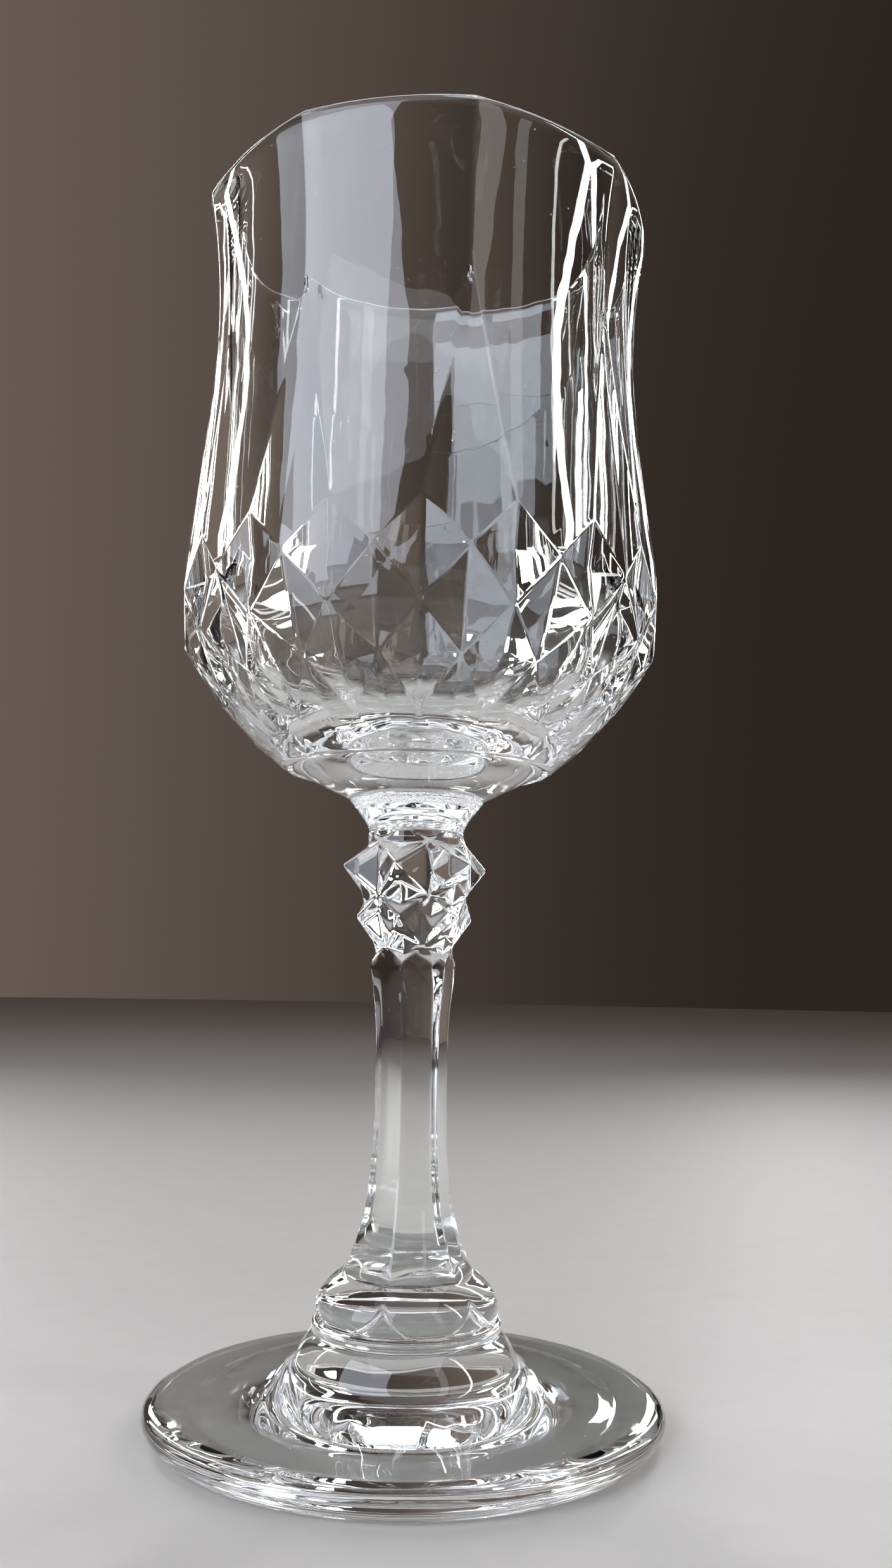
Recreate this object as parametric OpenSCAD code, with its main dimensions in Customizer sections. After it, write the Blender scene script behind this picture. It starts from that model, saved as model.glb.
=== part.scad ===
// Pressed stemmed wine glass: a nine-sided bowl with a band of diamonds, a
// six-sided stem with two rows of studs, and a round foot. The pieces are
// pressed one by one and fused end to end while hot, so each meets the next
// on a flat round face. Z is up and the foot rests on Z = 0.

/* [Whole glass] */
// Height from the table to the rim
glass_h = 165; // [160:1:170]
// Turn of the stem's sides against the bowl's sides
stem_turn = 5; // [0:1:30]

/* [Bowl] */
// Number of tall panels round the bowl
panels = 9; // [8:1:10]
// Radius at a panel corner, at the rim
rim_r = 32.5; // [31.8:0.1:33.2]
// Radius at a panel corner, at the narrow waist under the rim
waist_r = 30.4; // [30:0.1:30.8]
// Height of the waist
waist_z = 143; // [140:1:146]
// Largest radius, at the second row of diamond points
belly_r = 33.4; // [33:0.1:33.8]
// How round a panel is, from 0 for flat to 1 for a full circle
panel_bulge = 0.5; // [0.4:0.05:0.7]
// Depth of the dishes in the second and fourth rows of diamonds
diamond_dish = 0.9; // [0.3:0.1:1.1]
// Height and width of the rounding on the outside of the rim
rim_round = 0.5; // [0.3:0.1:0.8]
// Inner radius at the rim
mouth_r = 29.7; // [29.3:0.1:30.1]
// Inner radius of the straight part of the cavity
cavity_r = 27.6; // [27:0.1:28]
// Height of the cavity floor at the centre
cavity_floor_z = 87.6; // [87:0.1:88.4]

/* [Merese] */
// Radius of its flared top, which carries the bowl
merese_top_r = 9.1; // [8.8:0.1:9.3]
// Radius of its narrow lower end, on the stem
neck_r = 6.5; // [6.3:0.1:6.7]
// Height of its joint with the bowl
bowl_joint_z = 80.4; // [80:0.1:80.8]
// Height of its joint with the stem
neck_joint_z = 75.8; // [75.5:0.1:76]

/* [Stem] */
// Radius at the points of the upper row of studs
upper_knop_r = 10.1; // [9.6:0.1:10.4]
// Radius at the points of the lower row of studs
lower_knop_r = 8; // [7.6:0.1:8.2]
// Radius at the edges of the shaft, at its thinnest
shaft_r = 5; // [4.8:0.1:5.3]
// Radius of the lobed lower end
base_r = 12; // [11.6:0.1:12.2]
// Height of its joint with the foot
foot_joint_z = 12.6; // [12.4:0.1:12.8]

/* [Foot] */
// Radius of the foot
foot_r = 33.2; // [32:0.1:34]
// Thickness of its edge
foot_edge_t = 3.6; // [3.2:0.1:4]
// Outer radius of the flat ring that it rests on
rest_outer_r = 31.2; // [30.5:0.1:31.5]
// Width of the flat ring that it rests on
rest_w = 4.2; // [3:0.1:5]
// Depth of the hollow inside that ring
hollow_depth = 0.8; // [0.4:0.1:1]

/* [Hidden] */
$fn = 96;
clear_glass = "#dfe6e6";

// Four columns of points per panel: corner, quarter, middle, quarter.
column_step = 360 / panels / 4;
columns = panels * 4;

// The diamond band, from the smooth underside up: height and radius of each
// row of points, and the tops of the narrow spears on the panel corners.
row_z = [84.9, 88.4, 94.2, 99.6, 106.1, 112.3, 125];
row_r = [19, 23.4, 28.5, 32.5, belly_r, 32.9, waist_r + 1.2];
under_z = 83.4;
under_r = 15.4;
panel_foot_inset = 0.7;

function blend(a, b, t) = a + (b - a) * t;
function ease(t) = t * t * (3 - 2 * t);

// Straight line between two rows of points, read at a height between them.
function row_line(low, high, z) =
    blend(row_r[low], row_r[high], (z - row_z[low]) / (row_z[high] - row_z[low]));

// Radius of a panel at an angle from its corner, where the corner has radius r.
function panel_r(r, angle) =
    let (half = 180 / panels)
    blend(r * cos(half) / cos(half - angle), r, panel_bulge);

// Radius of the panel corners above the spears.
function corner_r(z) = z > waist_z
    ? waist_r + (rim_r - waist_r) * pow((z - waist_z) / (glass_h - waist_z), 2.2)
    : waist_r + (row_r[6] - waist_r) * pow((waist_z - z) / (waist_z - row_z[6]), 1.6);

// Radius at row k of the band and at column c. Points and folds alternate.
function band_r(k, c) =
    let (is_point = (c + k) % 2 == 0, on_corner = c % 4 == 0, mid_panel = c % 4 == 2)
    k == 0 ? row_r[0]
    : k == 6 ? panel_r(row_r[6], (c % 4) * column_step)
    : k == 5 && on_corner ? row_line(4, 6, row_z[5])
    : k == 5 && mid_panel ? row_r[5] - panel_foot_inset
    : is_point ? row_r[k]
    : row_line(k - 1, k + 1, row_z[k]) - (k == 2 || k == 4 ? diamond_dish : 0);

panel_z = [130, 136, waist_z, 149, 154, 158, 161.5, glass_h - rim_round];
bowl_rings = concat(
    [[for (c = [0 : columns - 1]) [merese_top_r, bowl_joint_z]]],
    [[for (c = [0 : columns - 1]) [under_r, under_z]]],
    [for (k = [0 : 6]) [for (c = [0 : columns - 1]) [band_r(k, c), row_z[k]]]],
    [for (z = panel_z) [for (c = [0 : columns - 1])
        [panel_r(corner_r(z), (c % 4) * column_step), z]]],
    [[for (c = [0 : columns - 1]) [panel_r(rim_r, (c % 4) * column_step) - rim_round, glass_h]]]
);

// Closed solid through rings of [radius, height] pairs, each with the same
// number of points. Ring 0 is the lowest, angle 0 is towards -Y. The diagonal
// of a cell leans one way or the other so that it runs from point to point.
module ring_solid(rings, first_even) {
    n = len(rings[0]);
    m = len(rings);
    points = [for (ring = rings) for (c = [0 : n - 1])
        [ring[c][0] * sin(c * 360 / n), -ring[c][0] * cos(c * 360 / n), ring[c][1]]];
    sides = [for (k = [0 : m - 2]) for (c = [0 : n - 1])
        let (a = k * n + c, b = k * n + (c + 1) % n, lean = (k + c + first_even) % 2 == 0)
        each lean ? [[a, a + n, b + n], [a, b + n, b]] : [[a, a + n, b], [b, a + n, b + n]]];
    caps = [[for (c = [0 : n - 1]) c], [for (c = [n - 1 : -1 : 0]) (m - 1) * n + c]];
    polyhedron(points, concat(sides, caps));
}

// Half outline of the cavity: a rounded floor, a straight wall, a flared mouth.
cavity_wall_z = 108;
cavity_roundness = 2.4;
function cavity_floor_r(z) =
    cavity_r * pow(1 - pow((cavity_wall_z - z) / (cavity_wall_z - cavity_floor_z), cavity_roundness),
        1 / cavity_roundness);
function cavity_wall_r(z) =
    cavity_r + (mouth_r - cavity_r) * pow((z - cavity_wall_z) / (glass_h - cavity_wall_z), 3);

module bowl() {
    floor_steps = 14;
    wall_steps = 10;
    depth = cavity_wall_z - cavity_floor_z;
    outline = concat(
        [for (i = [0 : floor_steps]) let (z = cavity_floor_z + depth * pow(i / floor_steps, 2))
            [cavity_floor_r(z), z]],
        [for (i = [1 : wall_steps]) let (z = blend(cavity_wall_z, glass_h, i / wall_steps))
            [cavity_wall_r(z), z]],
        [[mouth_r + 0.5, glass_h + 1], [0, glass_h + 1]]
    );
    color(clear_glass, 0.5)
    difference() {
        ring_solid(bowl_rings, 0);
        rotate_extrude() polygon(outline);
    }
}

// Flared button between bowl and stem, with a lip at its top.
module merese() {
    lip_h = 0.7;
    neck_groove = 0.1;
    flare_curve = 1.7;
    flare_steps = 10;
    flare_h = bowl_joint_z - lip_h - neck_joint_z;
    outline = concat(
        [[0, neck_joint_z]],
        [for (i = [0 : flare_steps]) let (t = i / flare_steps)
            [blend(neck_r - neck_groove, merese_top_r, pow(t, flare_curve)), neck_joint_z + flare_h * t]],
        [[merese_top_r, bowl_joint_z], [0, bowl_joint_z]]
    );
    color(clear_glass, 0.5)
    rotate_extrude() polygon(outline);
}

// Stem rings of [height, radius at the stud edges, radius at the valleys
// between them, roundness]: 0 is straight between edge and valley, 1 is a circle.
sides = 6;
stem_points = sides * 4;
stem_rings_data = [
    [foot_joint_z, base_r - 0.9, base_r - 0.4, 1],
    [13.4, base_r - 1.1, base_r, 1],
    [14.8, base_r - 0.9, base_r - 0.1, 1],
    [16.2, 10.7, 10.8, 1],
    [17.4, 9.9, 9.5, 0.8],
    [18.2, 9.1, 8.7, 0.6],
    [18.7, 8.5, 8.2, 0.2],
    [20.5, 7.7, 7.2, 0],
    [23.6, 6.7, 6.3, 0],
    [27.4, 5.8, 5.45, 0],
    [33, 5.2, 4.9, 0],
    [41.4, shaft_r, shaft_r * 0.94, 0],
    [50, shaft_r + 0.1, shaft_r * 0.95, 0],
    [54.8, 5.6, 5.1, 0],
    [58, 6.1, 5.2, 0],
    [60, 5.2 * cos(180 / sides), 5.2, 0],
    [60.4, 5.3 * cos(180 / sides), 5.3, 0],
    [64.1, lower_knop_r, 6.3, 0],
    [66.8, 7.1 * cos(180 / sides), 7.1, 0],
    [67.2, 7.1 * cos(180 / sides), 7.1, 0],
    [71.1, upper_knop_r, 7.1, 0],
    [74.3, 7 * cos(180 / sides), 7, 0.1],
    [75.1, neck_r, neck_r + 0.1, 1],
    [neck_joint_z, neck_r, neck_r, 1]
];

// Radius part way from edge to valley: t is 0 on the edge and 1 in the valley.
function side_r(edge, valley, t, roundness) =
    let (a = 180 / sides, b = a * t,
         straight = edge * valley * sin(a) / (valley * sin(a - b) + edge * sin(b)))
    blend(straight, blend(edge, valley, t), roundness);

module stem() {
    rings = [for (ring = stem_rings_data) [for (c = [0 : stem_points - 1])
        let (t = 1 - abs((c % 4) - 2) / 2)
        [side_r(ring[1], ring[2], 1 - t, ring[3]), ring[0]]]];
    color(clear_glass, 0.5)
    rotate(stem_turn) ring_solid(rings, 0);
}

// Round foot: a boss with a bead, a shallow slope and a soft thick edge.
module foot() {
    bead_r = 12.3;
    slope_outer_r = 27;
    slope_inner_r = 16.6;
    slope_rise = 1.6;
    hollow_run = 6;
    edge_half = foot_edge_t / 2;
    edge_arc = 165;
    slope_steps = 8;
    edge_steps = 10;
    outline = concat(
        [[0, hollow_depth], [rest_outer_r - rest_w - hollow_run, hollow_depth],
         [rest_outer_r - rest_w, 0], [rest_outer_r, 0]],
        [for (i = [1 : edge_steps]) let (a = -90 + edge_arc * i / edge_steps)
            [foot_r - edge_half + edge_half * cos(a), edge_half + edge_half * sin(a)]],
        [for (i = [0 : slope_steps]) let (t = i / slope_steps)
            [blend(slope_outer_r, slope_inner_r, t), foot_edge_t + slope_rise * ease(t)]],
        [[15.3, 6.4], [14.4, 8], [13.2, 9.9], [12.3, 11.2], [bead_r + 0.1, 11.8],
         [bead_r - 0.1, 12.3], [base_r - 0.3, foot_joint_z], [0, foot_joint_z]]
    );
    color(clear_glass, 0.5)
    rotate_extrude() polygon(outline);
}

bowl();
merese();
stem();
foot();
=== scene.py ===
import math

import bmesh
import bpy
from mathutils import Matrix, Vector


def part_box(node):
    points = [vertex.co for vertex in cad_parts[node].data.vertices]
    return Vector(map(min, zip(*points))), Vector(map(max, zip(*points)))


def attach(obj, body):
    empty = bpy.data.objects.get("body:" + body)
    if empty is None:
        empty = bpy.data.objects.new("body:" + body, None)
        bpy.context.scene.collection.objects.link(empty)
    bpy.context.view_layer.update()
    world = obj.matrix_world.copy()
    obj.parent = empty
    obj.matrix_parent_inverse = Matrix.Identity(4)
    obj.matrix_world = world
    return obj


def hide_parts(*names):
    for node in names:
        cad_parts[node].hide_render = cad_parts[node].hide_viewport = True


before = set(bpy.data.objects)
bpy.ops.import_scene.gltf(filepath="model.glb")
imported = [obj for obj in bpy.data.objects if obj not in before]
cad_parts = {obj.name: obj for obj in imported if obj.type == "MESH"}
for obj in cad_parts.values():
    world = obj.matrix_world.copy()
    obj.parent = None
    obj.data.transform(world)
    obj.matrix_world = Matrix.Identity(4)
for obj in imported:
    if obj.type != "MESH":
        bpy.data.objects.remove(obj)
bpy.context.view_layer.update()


# ---------------------------------------------------------------- the bowl
# The bowl is clear soda-lime glass, pressed in a nine-sided mould that cuts the
# diamonds and spears into its outside, while a smooth round plunger forms the
# inside. Its flat round bottom is fused to the merese below it.

MM = 0.001
BOWL_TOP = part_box("bowl")[1].z / MM
BOWL_JOINT_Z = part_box("bowl")[0].z / MM
BOWL_JOINT_R = 9.1
ROUND = 144

PANELS = 9
PANEL = 360 / PANELS
PANEL_STEPS = 12
PANEL_BULGE = 0.5
DIAMOND = PANEL / 4

# Height and radius of each row of diamond points, from the round underside up.
POINT_ROWS = [(84.9, 19.0), (88.4, 23.4), (94.2, 28.5), (99.6, 32.5), (106.1, 33.4)]
KNEE_Z = 112.3
SPEAR_TOP_Z = 145.0
SPEAR_STRAIGHT_Z = 125.0
SPEAR_STEPS = 14
SPEAR_SLANT = math.tan(math.radians(4))
PANEL_FOOT_STEPS = 4
UNDERSIDE_STEPS = 8

# How fast the panel corners bend out to the rim, and in from the spears to the waist.
WAIST_Z, WAIST_R = 143.0, 30.4
FLARE_CURVE, WAIST_CURVE = 2.2, 1.6
SPEAR_STRAIGHT_R = WAIST_R + 1.2
RIM_CORNER_R = 32.5
RIM_ROLL_H = 1.3
RIM_ROLL_STEPS = 10
RIM_SQUARENESS = 0.8
MOUTH_R = 29.7
CAVITY_R = 27.6
CAVITY_WALL_Z = 108.0
CAVITY_FLOOR_Z = 87.6
CAVITY_FULLNESS = 2.4
WALL_STEPS, FLOOR_STEPS = 22, 18
DISHED_ROWS, DISH_DEPTH = (2, 4), 0.9

# How wide the edges are rounded, and how sharp a fold must be to be rounded.
RIDGE_W, FOLD_W, PANEL_EDGE_W = 0.3, 0.5, 0.45
FLAT_ENOUGH = math.radians(2.5)


def at(angle, r, z):
    """A point in metres, from an angle off the front in degrees and mm."""
    a = math.radians(angle)
    return Vector((r * math.sin(a), -r * math.cos(a), z)) * MM


def mix(a, b, t):
    return a + (b - a) * t


def corner_r(z):
    """Radius of the corner between two tall panels."""
    if z > WAIST_Z:
        return WAIST_R + (RIM_CORNER_R - WAIST_R) * ((z - WAIST_Z) / (BOWL_TOP - WAIST_Z)) ** FLARE_CURVE
    if z > SPEAR_STRAIGHT_Z:
        share = (WAIST_Z - z) / (WAIST_Z - SPEAR_STRAIGHT_Z)
        return WAIST_R + (SPEAR_STRAIGHT_R - WAIST_R) * share ** WAIST_CURVE
    belly_z, belly_r = POINT_ROWS[4]
    return mix(belly_r, SPEAR_STRAIGHT_R, (z - belly_z) / (SPEAR_STRAIGHT_Z - belly_z))


def panel_line(left, right, r, z):
    """Points across a tall panel, half way between a flat and a round one."""
    half = math.radians((right - left) / 2)
    middle = (left + right) / 2
    line = []
    for j in range(PANEL_STEPS + 1):
        angle = mix(left, right, j / PANEL_STEPS)
        chord = r * math.cos(half) / math.cos(math.radians(angle - middle))
        line.append(at(angle, mix(chord, r, PANEL_BULGE), z))
    return line


def strip(faces, upper, lower, kind):
    """Faces between two lines of points. A line may be a single point."""
    for j in range(max(len(upper), len(lower)) - 1):
        a, b = upper[min(j, len(upper) - 1)], upper[min(j + 1, len(upper) - 1)]
        c, d = lower[min(j + 1, len(lower) - 1)], lower[min(j, len(lower) - 1)]
        corners = [a]
        for p in (d, c, b):
            if all((p - q).length > 1e-7 for q in corners):
                corners.append(p)
        if len(corners) > 2:
            faces.append((corners, kind))


def spin(faces, outline, kind, columns=ROUND):
    """Faces of a round surface, from its (radius, height) outline."""
    angles = [360 * j / columns for j in range(columns + 1)]
    lines = [[at(a, r, z) for a in angles] if r else [at(0, 0, z)] for r, z in outline]
    for upper, lower in zip(lines, lines[1:]):
        strip(faces, upper, lower, kind)


def spear_edge(z):
    """Half width in degrees and radius of a spear's edge at a height."""
    width = DIAMOND * (SPEAR_TOP_Z - z) / (SPEAR_TOP_Z - KNEE_Z)
    a = math.radians(width)
    return width, corner_r(z) / (math.cos(a) + math.sin(a) * SPEAR_SLANT)


# The highest row of points is where the edges of the spears end.
POINT_ROWS.append((KNEE_Z, spear_edge(KNEE_Z)[1]))


def point(row, column):
    z, r = POINT_ROWS[row]
    return at(column * DIAMOND, r, z)


CUT, SMOOTH, JOINT = 0, 1, 2
bowl_faces = []

# The diamonds: four rows of shallow kites, each folded down its middle. The
# middles of the second and fourth rows are also pressed in a little.
for row in range(1, 5):
    for column in range(PANELS * 4):
        if (row + column) % 2 == 0:
            continue
        top, bottom = point(row + 1, column), point(row - 1, column)
        share = (point(row, column).z - bottom.z) / (top.z - bottom.z)
        middle = bottom.lerp(top, share)
        if row in DISHED_ROWS:
            middle -= at(column * DIAMOND, DISH_DEPTH, 0)
        for side in (-1, 1):
            tip = point(row, column + side)
            upper = [tip, top]
            if row == 4 and (column + side) % 4 == 2:
                shares = [i / PANEL_FOOT_STEPS for i in range(1, PANEL_FOOT_STEPS)]
                upper[1:1] = [tip.lerp(top, share) for share in shares]
            if row in DISHED_ROWS:
                bowl_faces.append(([middle] + upper, CUT))
                bowl_faces.append(([bottom, tip, middle], CUT))
            else:
                bowl_faces.append(([bottom] + upper, CUT))

# The lowest row: half diamonds that run out on the round underside.
for column in range(1, PANELS * 4, 2):
    angles = [mix(column - 1, column + 1, j / UNDERSIDE_STEPS) * DIAMOND for j in range(UNDERSIDE_STEPS + 1)]
    arc = [at(a, POINT_ROWS[0][1], POINT_ROWS[0][0]) for a in angles]
    strip(bowl_faces, [point(1, column)], arc, CUT)

# The spears on the panel corners, and the tall panels between them.
spear_z = [mix(SPEAR_TOP_Z, KNEE_Z, i / SPEAR_STEPS) for i in range(SPEAR_STEPS + 1)]
upper_z = [BOWL_TOP - RIM_ROLL_H, 161.5, 158.5, 155.5, 152, 148.5]
rim_lines = []
for panel in range(PANELS):
    corner = panel * PANEL
    axis = [at(corner, corner_r(z), z) for z in spear_z]
    for side in (-1, 1):
        edge = [at(corner + side * spear_edge(z)[0], spear_edge(z)[1], z) for z in spear_z]
        for i in range(SPEAR_STEPS):
            quad = [axis[i], axis[i + 1], edge[i + 1], edge[i]]
            bowl_faces.append((quad if i else quad[:3], CUT))
        bowl_faces.append(([axis[-1], point(4, panel * 4), point(5, panel * 4 + side)], CUT))
    lines = [panel_line(corner, corner + PANEL, corner_r(z), z) for z in upper_z]
    for z in spear_z:
        width, r = spear_edge(z)
        lines.append(panel_line(corner + width, corner + PANEL - width, r, z))
    knee, foot = point(5, panel * 4 + 1), point(4, panel * 4 + 2)
    for i in range(1, PANEL_FOOT_STEPS):
        p = knee.lerp(foot, i / PANEL_FOOT_STEPS)
        angle = math.degrees(math.atan2(p.x, -p.y)) % 360
        lines.append(panel_line(angle, 2 * (corner + PANEL / 2) - angle, p.xy.length / MM, p.z / MM))
    lines.append([foot])
    for upper, lower in zip(lines, lines[1:]):
        strip(bowl_faces, upper, lower, CUT)
    rim_lines.append(lines[0])

# The rim is fire-polished, so it rolls over from the panels to the round inside.
for panel, outer in enumerate(rim_lines):
    previous = outer
    for i in range(1, RIM_ROLL_STEPS + 1):
        phi = math.pi * i / RIM_ROLL_STEPS
        outward = math.copysign(abs(math.cos(phi)) ** RIM_SQUARENESS, math.cos(phi))
        lift = math.sin(phi) ** RIM_SQUARENESS if i < RIM_ROLL_STEPS else 0
        line = []
        for j, p in enumerate(outer):
            angle = panel * PANEL + PANEL * j / PANEL_STEPS
            r = mix(MOUTH_R, p.xy.length / MM, 0.5 + 0.5 * outward)
            line.append(at(angle, r, BOWL_TOP - RIM_ROLL_H + RIM_ROLL_H * lift))
        strip(bowl_faces, line, previous, SMOOTH)
        previous = line

# The smooth inside, as the plunger leaves it: a wall with draft and a full round floor.
inside = []
for i in range(WALL_STEPS + 1):
    z = mix(BOWL_TOP - RIM_ROLL_H, CAVITY_WALL_Z, i / WALL_STEPS)
    lift = (z - CAVITY_WALL_Z) / (BOWL_TOP - RIM_ROLL_H - CAVITY_WALL_Z)
    inside.append((CAVITY_R + (MOUTH_R - CAVITY_R) * lift ** 3, z))
for i in range(1, FLOOR_STEPS + 1):
    u = math.pi / 2 * i / FLOOR_STEPS
    r = CAVITY_R * math.cos(u) ** (2 / CAVITY_FULLNESS) if i < FLOOR_STEPS else 0
    drop = math.sin(u) ** (2 / CAVITY_FULLNESS)
    inside.append((r, CAVITY_WALL_Z - (CAVITY_WALL_Z - CAVITY_FLOOR_Z) * drop))
spin(bowl_faces, inside, SMOOTH, PANELS * PANEL_STEPS)

# The underside, from the lowest points over a small bead to the joint.
underside = [(19.0, 84.9), (18.75, 84.62), (18.4, 84.42), (18.0, 84.33), (17.65, 84.34), (17.4, 84.4),
             (17.1, 84.36), (16.4, 84.02), (15.4, 83.5), (13.8, 82.75), (12.3, 82.0), (11.0, 81.35),
             (9.9, 80.8), (BOWL_JOINT_R, BOWL_JOINT_Z)]
spin(bowl_faces, underside, SMOOTH)
spin(bowl_faces, [(BOWL_JOINT_R, BOWL_JOINT_Z), (0, BOWL_JOINT_Z)], JOINT)


WIDE_OPEN = 10.0
NEARLY_STRAIGHT = -0.9
ROOM_SHARE = 3


def edge_room(edge):
    """The widest rounding in mm that the faces beside an edge have room for."""
    room = WIDE_OPEN
    for face in edge.link_faces:
        for other in face.edges:
            shared = set(edge.verts) & set(other.verts)
            if other == edge or not shared:
                continue
            corner = shared.pop()
            a = edge.other_vert(corner).co - corner.co
            b = other.other_vert(corner).co - corner.co
            if a.normalized().dot(b.normalized()) > NEARLY_STRAIGHT:
                room = min(room, b.length * math.sin(a.angle(b)) / MM)
    return room / ROOM_SHARE


def glass_piece(name, faces, edge_width, materials):
    """A closed glass mesh from its faces. edge_width gives how wide an edge is rounded, in mm."""
    mesh = bpy.data.meshes.new(name)
    bm = bmesh.new()
    for corners, kind in faces:
        face = bm.faces.new([bm.verts.new(p) for p in corners])
        face.material_index = kind
    bmesh.ops.remove_doubles(bm, verts=bm.verts[:], dist=2e-6)
    bmesh.ops.recalc_face_normals(bm, faces=bm.faces[:])
    bm.normal_update()
    widths = [edge_width(e) for e in bm.edges]
    widths = [min(width, edge_room(e)) if width else 0 for e, width in zip(bm.edges, widths)]
    weight = bm.edges.layers.float.new("bevel_weight_edge")
    widest = max(widths)
    for edge, width in zip(bm.edges, widths):
        edge[weight] = width / widest if widest else 0
    for face in bm.faces:
        face.material_index = 1 if face.material_index == JOINT else 0
        face.smooth = True
    bm.to_mesh(mesh)
    bm.free()
    piece = bpy.data.objects.new(name, mesh)
    bpy.context.scene.collection.objects.link(piece)
    for material in materials:
        mesh.materials.append(material)
    if widest:
        rounding = piece.modifiers.new("rounded_edges", "BEVEL")
        rounding.limit_method = "WEIGHT"
        rounding.width = widest * MM
        rounding.segments = 4
        rounding.use_clamp_overlap = False
    return piece


def bowl_edge(edge):
    """Ridges are crisp, folds are wide and soft, and the long panel edges lie between."""
    if not all(f.material_index == CUT for f in edge.link_faces):
        return 0
    if edge.calc_face_angle() < FLAT_ENOUGH:
        return 0
    a, b = edge.verts[0].co / MM, edge.verts[1].co / MM
    if min(a.z, b.z) > KNEE_Z - 0.01:
        return PANEL_EDGE_W
    if edge.calc_face_angle_signed() < 0:
        return FOLD_W
    return RIDGE_W


def linear(hex_colour):
    """An sRGB hex colour as linear RGBA."""
    parts = [int(hex_colour[i:i + 2], 16) / 255 for i in (1, 3, 5)]
    return [c / 12.92 if c <= 0.04045 else ((c + 0.055) / 1.055) ** 2.4 for c in parts] + [1.0]


def node(material, kind, links=(), **settings):
    """Adds a node. Settings are its fields, or its inputs by name with _ for spaces."""
    made = material.node_tree.nodes.new(kind)
    for key, value in settings.items():
        if hasattr(made, key):
            setattr(made, key, value)
        else:
            made.inputs[key.replace("_", " ")].default_value = value
    for source, target in links:
        material.node_tree.links.new(source, made.inputs[target])
    return made


def new_material(name):
    material = bpy.data.materials.new(name)
    material.use_nodes = True
    material.node_tree.nodes.clear()
    return material


# Fire-polished pressed glass: clear and glossy, and very slightly wavy, because
# the mould chills the skin before the heart is set. The waves are 7 mm across.
# Years of wiping leave faint streaks 1 mm wide up its sides, and dust lies in
# specks of 0.2 mm, so its highlights are not quite even.
polished = new_material("fire_polished_pressed_glass")
where = node(polished, "ShaderNodeTexCoord").outputs["Object"]
along = node(polished, "ShaderNodeMapping", [(where, "Vector")], Scale=(1.0, 1.0, 0.04))
streak = node(polished, "ShaderNodeTexNoise", [(along.outputs["Vector"], "Vector")], Scale=900.0, Detail=2.0)
smear = node(polished, "ShaderNodeTexNoise", [(where, "Vector")], Scale=45.0, Detail=3.0)
patchy = node(polished, "ShaderNodeMath", [(streak.outputs["Fac"], 0), (smear.outputs["Fac"], 1)],
              operation="MULTIPLY")
dull = node(polished, "ShaderNodeMapRange", [(patchy.outputs["Value"], "Value")],
            From_Min=0.27, From_Max=0.42, To_Min=0.0, To_Max=0.05)
dust = node(polished, "ShaderNodeTexVoronoi", [(where, "Vector")], Scale=260.0)
speck = node(polished, "ShaderNodeMapRange", [(dust.outputs["Distance"], "Value")],
             From_Min=0.025, From_Max=0.035, To_Min=0.45, To_Max=0.0)
rough = node(polished, "ShaderNodeMath", [(dull.outputs["Result"], 0), (speck.outputs["Result"], 1)],
             operation="MAXIMUM")
wave = node(polished, "ShaderNodeTexNoise", [(where, "Vector")], Scale=140.0, Detail=1.0)
ripple = node(polished, "ShaderNodeBump", [(wave.outputs["Fac"], "Height")], Strength=0.25, Distance=0.0002)
glass = node(polished, "ShaderNodeBsdfPrincipled",
             [(rough.outputs["Value"], "Roughness"), (ripple.outputs["Normal"], "Normal")],
             Base_Color=linear("#fcfefd"), Transmission_Weight=1.0, IOR=1.52)
node(polished, "ShaderNodeOutputMaterial", [(glass.outputs["BSDF"], "Surface")])

# Where two hot pieces are fused there is no surface left between them, so light
# runs straight through the joint.
fused = new_material("fused_glass_joint")
through = node(fused, "ShaderNodeBsdfTransparent", Color=linear("#ffffff"))
node(fused, "ShaderNodeOutputMaterial", [(through.outputs["BSDF"], "Surface")])

bowl = glass_piece("bowl_pressed", bowl_faces, bowl_edge, [polished, fused])
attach(bowl, "root")
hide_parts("bowl")


# -------------------------------------------------------------- the merese
# The merese is a small flared button of the same glass that carries the bowl.
# It is pressed with a lip round its top, and fused to the bowl and the stem.

MERESE_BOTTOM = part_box("merese")[0].z / MM
NECK_R = 6.5
merese_outline = [(0, BOWL_JOINT_Z), (BOWL_JOINT_R, BOWL_JOINT_Z), (9.16, 80.28), (9.14, 80.1),
                  (9.0, 79.97), (8.86, 79.88), (8.8, 79.74), (8.66, 79.5), (8.35, 79.1), (7.9, 78.55),
                  (7.45, 77.95), (7.05, 77.35), (6.75, 76.8), (6.56, 76.3), (6.5, 76.05), (6.42, 75.92),
                  (NECK_R, MERESE_BOTTOM), (0, MERESE_BOTTOM)]
merese_faces = []
spin(merese_faces, merese_outline[:2], JOINT)
spin(merese_faces, merese_outline[1:-1], SMOOTH)
spin(merese_faces, merese_outline[-2:], JOINT)

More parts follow.
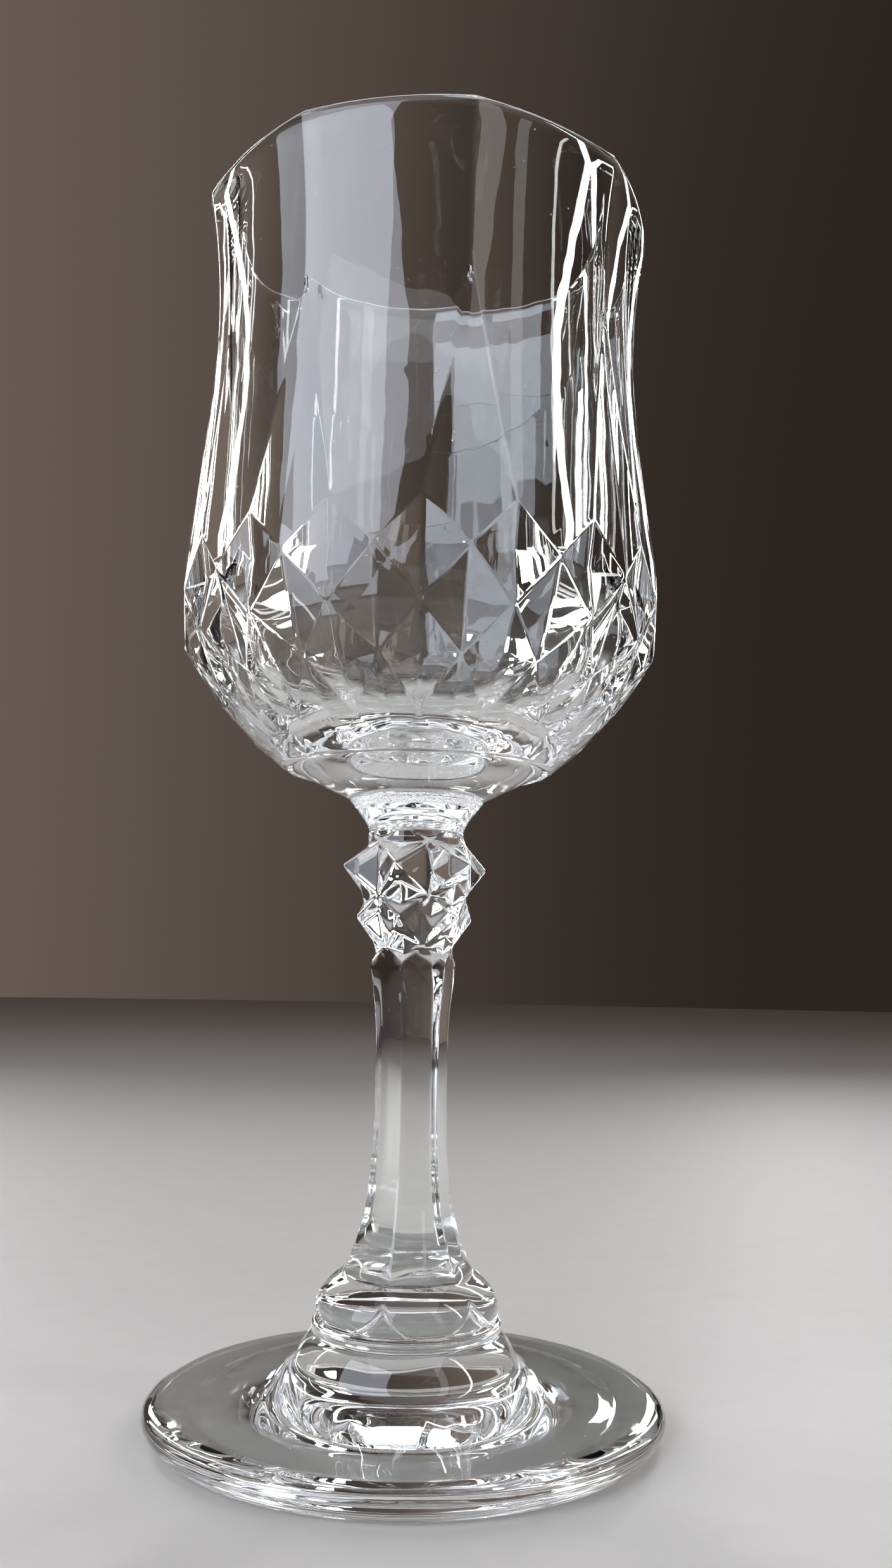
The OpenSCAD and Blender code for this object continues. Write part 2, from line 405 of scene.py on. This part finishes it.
# The same pressed glass, but fine pits of its mould 0.35 mm apart fade in just
# under the lip and run up over it. They show as speckles, in place of the waves.
GRAIN_START_Z, GRAIN_FULL_Z = 79.0, 79.4
grained = polished.copy()
grained.name = "pressed_glass_with_grained_lip"
glass_node = next(n for n in grained.node_tree.nodes if n.type == "BSDF_PRINCIPLED")
spot = node(grained, "ShaderNodeTexCoord").outputs["Object"]
height = node(grained, "ShaderNodeSeparateXYZ", [(spot, "Vector")])
band = node(grained, "ShaderNodeMapRange", [(height.outputs["Z"], "Value")], interpolation_type="SMOOTHSTEP",
            From_Min=GRAIN_START_Z * MM, From_Max=GRAIN_FULL_Z * MM, To_Min=0.0, To_Max=1.0)
pits = node(grained, "ShaderNodeTexVoronoi", [(spot, "Vector")], Scale=2900.0)
pit_depth = node(grained, "ShaderNodeMath", [(band.outputs["Result"], 0), (pits.outputs["Distance"], 1)],
                 operation="MULTIPLY")
pitted = node(grained, "ShaderNodeBump", [(pit_depth.outputs["Value"], "Height")],
              Strength=0.5, Distance=0.0002)
grained.node_tree.links.new(pitted.outputs["Normal"], glass_node.inputs["Normal"])

merese = glass_piece("merese_pressed", merese_faces, lambda e: 0, [grained, fused])
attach(merese, "root")
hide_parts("merese")


# ---------------------------------------------------------------- the stem
# The stem is one pressing: two rows of six pointed studs, a six-ridged shaft
# that swells towards its ends, and a round base with six hanging lobes. It is
# fused to the merese at its top and to the foot at its bottom.

STEM_TURN = 5.0
STUD = 30.0 + STEM_TURN
KNOP_TOP_Z, KNOP_TOP_R = 74.2, 7.0
UPPER_TIP_Z, UPPER_TIP_R = 71.1, 10.3
GROOVE_Z, GROOVE_R = 67.0, 7.1
LOWER_TIP_Z, LOWER_TIP_R = 64.1, 8.25
SHAFT_TOP_Z, SHAFT_TOP_R = 60.2, 5.3
SHIELD_Z, SHIELD_R, SHIELD_END_Z = 58.0, 6.1, 56
STUD_ROUNDING, SHAFT_ROUNDING, VALLEY_ROUNDING = 0.15, 0.06, 0.08
LEAST_FACING = 1.0
STEM_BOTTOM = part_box("stem")[0].z / MM
STEM_COLUMNS = 300

# Height, radius on the stud ridges and radius in the valleys between them.
SHAFT_ROWS = [(60.2, 6.75, 5.3), (58.0, 6.1, 5.2), (54.8, 5.6, 5.1), (50.0, 5.1, 4.75),
              (41.4, 5.0, 4.7), (33.0, 5.2, 4.9), (27.4, 5.8, 5.45), (23.6, 6.7, 6.3),
              (20.5, 7.85, 7.35), (18.4, 9.0, 8.6)]
FLUTE_END_Z, FLUTE_FADE = 20.5, 2.4


def smooth_read(rows, z, column):
    """A table of falling heights read along a smooth curve."""
    k = next((i for i in range(len(rows) - 1) if z >= rows[i + 1][0]), len(rows) - 2)
    p = [rows[max(0, min(len(rows) - 1, k + i))] for i in (-1, 0, 1, 2)]
    t = (z - p[1][0]) / (p[2][0] - p[1][0])
    span = p[2][0] - p[1][0]
    m1 = (p[2][column] - p[0][column]) / (p[2][0] - p[0][0]) * span
    m2 = (p[3][column] - p[1][column]) / (p[3][0] - p[1][0]) * span
    a, b = p[1][column], p[2][column]
    ends = (2 * t**3 - 3 * t**2 + 1) * a + (3 * t**2 - 2 * t**3) * b
    return ends + (t**3 - 2 * t**2 + t) * m1 + (t**3 - t**2) * m2


def soft_least(values, softness):
    """The least of some values, blended over about softness where two of them cross."""
    low = min(values)
    return low - softness * math.log(sum(math.exp((low - v) / softness) for v in values))


def soft_most(values, softness):
    return -soft_least([-v for v in values], softness)


def stud_r(off, z, tip, top, bottom):
    """Radius of a pointed stud, off degrees from its middle. tip, top and bottom are (radius, height)."""
    cos30, sin30 = math.cos(math.radians(30)), math.sin(math.radians(30))
    point_tip = Vector((tip[0], 0, tip[1]))
    faces = []
    for r, corner_z in (top, bottom):
        x = tip[0] + (r * cos30 - tip[0]) * (z - tip[1]) / (corner_z - tip[1])
        faces.append(x / math.cos(math.radians(off)))
    for side in (-1, 1):
        upper = Vector((top[0] * cos30, side * top[0] * sin30, top[1]))
        lower = Vector((bottom[0] * cos30, side * bottom[0] * sin30, bottom[1]))
        n = (upper - point_tip).cross(lower - point_tip) * -side
        facing = n.x * math.cos(math.radians(off)) + n.y * math.sin(math.radians(off))
        faces.append((n.dot(point_tip) - n.z * z) / max(facing, LEAST_FACING))
    return soft_least(faces, STUD_ROUNDING)


def shaft_r(angle, z):
    """Radius of the shaft: flat faces between ridges and valleys, and the sloped shield at its top."""
    ridge, valley = smooth_read(SHAFT_ROWS, z, 1), smooth_read(SHAFT_ROWS, z, 2)
    off = abs((angle - STUD + 30) % 60 - 30)
    faces = []
    for a in (off, -off, 60 - off):
        w, b = math.radians(30), math.radians(a)
        faces.append(ridge * valley * math.sin(w) / (valley * math.sin(w - b) + ridge * math.sin(b)))
    shield_top = SHAFT_TOP_R * math.cos(math.radians(30))
    shield = mix(SHIELD_R, shield_top, (z - SHIELD_Z) / (SHAFT_TOP_Z - SHIELD_Z))
    if z > SHIELD_END_Z:
        faces.append(shield / math.cos(math.radians(off)))
    return soft_least(faces, SHAFT_ROUNDING)


def knops_r(angle, z):
    """Radius of the two rows of studs, with the round neck above them and the shaft below."""
    off = abs((angle - STUD + 30) % 60 - 30)
    groove = (GROOVE_R, GROOVE_Z)
    surfaces = []
    for o in (off, 60 - off):
        surfaces.append(stud_r(o, z, (UPPER_TIP_R, UPPER_TIP_Z), (KNOP_TOP_R, KNOP_TOP_Z), groove))
        surfaces.append(stud_r(o, z, (LOWER_TIP_R, LOWER_TIP_Z), groove, (SHAFT_TOP_R, SHAFT_TOP_Z)))
    if z > GROOVE_Z:
        surfaces.append(NECK_R)
    if z < LOWER_TIP_Z:
        surfaces.append(shaft_r(angle, z))
    return soft_most(surfaces, VALLEY_ROUNDING)


# The base: lobes hang from the shaft over a plainer drum, which shows between
# them as six small arches just above the foot.
LOBE_ROWS = [(20.5, 7.35), (19.6, 7.85), (18.9, 8.35), (18.3, 8.95), (17.9, 9.5), (17.3, 10.2),
             (16.5, 10.95), (15.6, 11.55), (14.7, 11.9), (13.8, 12.0), (13.1, 11.9), (12.6, 11.6)]
ARCH_TOP_Z, ARCH_FOOT_Z = 16.4, 12.3
ARCH_EDGE = 4.0
DRUM_R = 11.05


def base_r(angle, z):
    """Radius of the base: a lobe, or the drum where an arch opens between two lobes."""
    off = abs((angle - STEM_TURN + 30) % 60 - 30)
    lobe = smooth_read(LOBE_ROWS, z, 1)
    fall = (ARCH_TOP_Z - z) / (ARCH_TOP_Z - ARCH_FOOT_Z)
    if fall <= 0:
        return lobe
    width = 30 * math.sqrt(max(0.0, 1 - fall**1.5))
    t = min(1.0, max(0.0, (off - width) / ARCH_EDGE + 0.5))
    return mix(lobe, min(lobe, DRUM_R), t * t * (3 - 2 * t))


def ring(z, radius):
    """Points round the stem at a height, where radius is a function of angle and height."""
    angles = [STEM_TURN + 360 * j / STEM_COLUMNS for j in range(STEM_COLUMNS + 1)]
    return [at(a, radius(a, z), z) for a in angles]


KNOP_BOTTOM_Z, KNOP_STEP = 57.0, 0.2
knop_rows = round((MERESE_BOTTOM - KNOP_BOTTOM_Z) / KNOP_STEP)
knop_z = [mix(MERESE_BOTTOM, KNOP_BOTTOM_Z, i / knop_rows) for i in range(knop_rows + 1)]
shaft_z = [56.4, 55.4, 54, 52, 49.5, 46.5, 43, 39.5, 36, 33, 30.5, 28.5, 26.8, 25.2, 23.8, 22.6, 21.5, 20.5]


def flute_end_r(angle, z):
    """The flutes of the shaft run out on the smooth shoulder of the base."""
    t = min(1.0, max(0.0, (FLUTE_END_Z - z) / FLUTE_FADE))
    return mix(shaft_r(angle, max(z, SHAFT_ROWS[-1][0])), base_r(angle, z), t * t * (3 - 2 * t))


base_z = [20.0, 19.6, 19.2, 18.9, 18.6, 18.35, 18.1, 17.85, 17.6, 17.3, 17.0, 16.7, 16.4, 16.15, 15.9,
          15.65, 15.4, 15.15, 14.9, 14.65, 14.4, 14.15, 13.9, 13.65, 13.4, 13.15, 12.9, STEM_BOTTOM]
rings = [ring(MERESE_BOTTOM, lambda a, z: NECK_R)] + [ring(z, knops_r) for z in knop_z[1:]]
rings += [ring(z, shaft_r) for z in shaft_z] + [ring(z, flute_end_r) for z in base_z]
stem_faces = []
for upper, lower in zip(rings, rings[1:]):
    strip(stem_faces, upper, lower, SMOOTH)
strip(stem_faces, rings[0], [at(0, 0, MERESE_BOTTOM)], JOINT)
strip(stem_faces, [at(0, 0, STEM_BOTTOM)], rings[-1], JOINT)
stem = glass_piece("stem_pressed", stem_faces, lambda e: 0, [polished, fused])
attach(stem, "root")
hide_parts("stem")


# ---------------------------------------------------------------- the foot
# The foot is a round pressed disc of the same glass: a boss with a bead takes
# the stem, a shallow slope runs out to a thick soft edge, and only a narrow
# ring underneath touches the table.

FOOT_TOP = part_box("foot")[1].z / MM
FOOT_R = 33.2
foot_outline = [(0, FOOT_TOP), (11.7, FOOT_TOP), (12.0, 12.52), (12.25, 12.35), (12.38, 12.1),
                (12.38, 11.85), (12.25, 11.6), (12.12, 11.42), (12.16, 11.25), (12.35, 11.05),
                (12.65, 10.75), (13.0, 10.3), (13.35, 9.8), (13.7, 9.2), (14.0, 8.6), (14.25, 8.0),
                (14.5, 7.4), (14.85, 6.85), (15.4, 6.35), (16.2, 5.95), (17.4, 5.6), (19.0, 5.25),
                (21.0, 4.9), (23.5, 4.5), (26.0, 4.15), (28.5, 3.85), (30.3, 3.72), (31.4, 3.62),
                (32.2, 3.4), (32.75, 3.05), (33.08, 2.65), (FOOT_R, 2.2), (33.14, 1.7), (32.9, 1.15),
                (32.5, 0.65), (31.95, 0.25), (31.3, 0.04), (30.9, 0), (27.4, 0), (26.9, 0.03),
                (26.2, 0.14), (25.0, 0.36), (23.4, 0.6), (21.5, 0.76), (19.0, 0.8), (0, 0.8)]
foot_faces = []
spin(foot_faces, foot_outline[:2], JOINT)
spin(foot_faces, foot_outline[1:], SMOOTH)
foot = glass_piece("foot_pressed", foot_faces, lambda e: 0, [polished, fused])
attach(foot, "root")
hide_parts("foot")


# --------------------------------------------------------------- the studio
# A pale table top under soft lights, with a dark warm room behind it. The
# lamps are soft boxes, and none of them shows except in the glass.

FLOOR_R, FLOOR_GAP = 3.0, 0.05
floor_mesh = bpy.data.meshes.new("floor")
fb = bmesh.new()
bmesh.ops.create_circle(fb, cap_ends=True, segments=96, radius=FLOOR_R)
fb.to_mesh(floor_mesh)
fb.free()
floor = bpy.data.objects.new("floor", floor_mesh)
floor.location.z = -FLOOR_GAP * MM
bpy.context.scene.collection.objects.link(floor)

# Pale matt laminate with a faint even mottle of 7 mm, which keeps it from looking
# dead flat. Sockets 6 and 7 of a colour mix are its two colours.
paper = new_material("pale_matt_laminate")
paper_grain = node(paper, "ShaderNodeTexNoise", Scale=900.0, Detail=2.0)
paper_tone = node(paper, "ShaderNodeMix", [(paper_grain.outputs["Fac"], "Factor")], data_type="RGBA")
paper_tone.inputs[6].default_value = linear("#b3b0ab")
paper_tone.inputs[7].default_value = linear("#bab7b2")
matt = node(paper, "ShaderNodeBsdfPrincipled", [(paper_tone.outputs[2], "Base Color")], Roughness=0.6)
node(paper, "ShaderNodeOutputMaterial", [(matt.outputs["BSDF"], "Surface")])
floor_mesh.materials.append(paper)

world = bpy.data.worlds.new("dark_room")
bpy.context.scene.world = world
world.use_nodes = True
backdrop = world.node_tree.nodes["Background"]
bearing = node(world, "ShaderNodeTexCoord").outputs["Generated"]
heading = node(world, "ShaderNodeSeparateXYZ", [(bearing, "Vector")])
across = node(world, "ShaderNodeMapRange", [(heading.outputs["X"], "Value")],
              interpolation_type="SMOOTHSTEP", From_Min=-0.45, From_Max=0.45)
wall_tone = node(world, "ShaderNodeMix", [(across.outputs["Result"], "Factor")], data_type="RGBA")
wall_tone.inputs[6].default_value = linear("#74675f")
wall_tone.inputs[7].default_value = linear("#2c241f")
world.node_tree.links.new(wall_tone.outputs[2], backdrop.inputs["Color"])


LAMP_AIM = Vector((0, 0, 0.09))


def soft_box(name, azimuth, distance, height, width, tall, power, spread, colour="#ffffff"):
    """A lamp aimed at the glass: degrees off the front, metres, watts and degrees of spread."""
    lamp = bpy.data.lights.new(name, "AREA")
    lamp.shape = "RECTANGLE"
    lamp.size, lamp.size_y = width, tall
    lamp.energy = power
    lamp.spread = math.radians(spread)
    lamp.color = linear(colour)[:3]
    box = bpy.data.objects.new(name, lamp)
    bpy.context.scene.collection.objects.link(box)
    a = math.radians(azimuth)
    box.location = (distance * math.sin(a), -distance * math.cos(a), height)
    box.rotation_mode = "QUATERNION"
    box.rotation_quaternion = (LAMP_AIM - box.location).to_track_quat("-Z", "Y")
    box.visible_camera = False


# The window lies on the panels, the sky and rim boxes light the rim and foot, and
# the narrow strips and small boxes beside and behind line the edges and facets.
soft_box("window_box", 304, 0.75, 0.38, 0.74, 0.70, 7.5, 180, "#e6eeff")
soft_box("sky_box", 350, 0.55, 0.95, 1.3, 0.7, 3.5, 180, "#f2f6ff")
soft_box("rim_box", 171, 0.32, 1.0, 1.1, 0.5, 2.5, 180, "#f2f6ff")
soft_box("right_box", 32, 0.8, 0.45, 0.12, 0.6, 0.4, 180)
soft_box("back_left_strip", 238, 0.8, 0.55, 0.035, 0.7, 0.09, 60)
soft_box("back_right_strip", 120, 0.8, 0.55, 0.035, 0.7, 0.15, 60)
soft_box("side_right_strip", 62, 0.8, 0.55, 0.04, 0.7, 0.2, 60)
soft_box("far_left_strip", 207, 0.8, 0.55, 0.05, 0.7, 0.2, 60)
soft_box("far_right_strip", 143, 0.8, 0.55, 0.05, 0.7, 0.2, 60)
soft_box("low_back_left_box", 197, 1.1, 0.36, 0.10, 0.22, 0.08, 40)
soft_box("low_back_right_box", 151, 1.1, 0.36, 0.10, 0.22, 0.08, 40)


# --------------------------------------------------------------- the camera
# The camera stands a little below the middle of the glass, close to it, and
# looks up past the stem, so that the foot shows from above and the rim from below.

CAMERA_TURN = math.radians(-9.16)
LOOK_UP, LOOK_RIGHT, ROLL = math.radians(8.81), math.radians(2.03), math.radians(0.98)
FILM_TALL, FRAME_TALL, LENS_LONG = 36.0, 2476, 2000
eye = Vector((-2.2, -173.7, 55.95)) * MM
level = Vector((math.sin(LOOK_RIGHT), math.cos(LOOK_RIGHT), 0))
ahead = level * math.cos(LOOK_UP) + Vector((0, 0, math.sin(LOOK_UP)))
right = ahead.cross(Vector((0, 0, 1))).normalized()
up = right.cross(ahead)
right, up = right * math.cos(ROLL) + up * math.sin(ROLL), up * math.cos(ROLL) - right * math.sin(ROLL)
turn = Matrix.Rotation(CAMERA_TURN, 4, "Z")
pose = Matrix((right, up, -ahead)).transposed().to_4x4()
pose.translation = eye
lens = bpy.data.cameras.new("camera")
lens.sensor_width = FILM_TALL
lens.lens = FILM_TALL * LENS_LONG / FRAME_TALL
lens.clip_start, lens.clip_end = 0.005, 20.0
camera = bpy.data.objects.new("camera", lens)
bpy.context.scene.collection.objects.link(camera)
camera.matrix_world = turn @ pose
bpy.context.scene.camera = camera

scene = bpy.context.scene
scene.cycles.max_bounces = 24
scene.cycles.transmission_bounces = 24
scene.cycles.glossy_bounces = 12
scene.cycles.transparent_max_bounces = 16
scene.cycles.use_denoising = True
scene.view_settings.view_transform = "Standard"
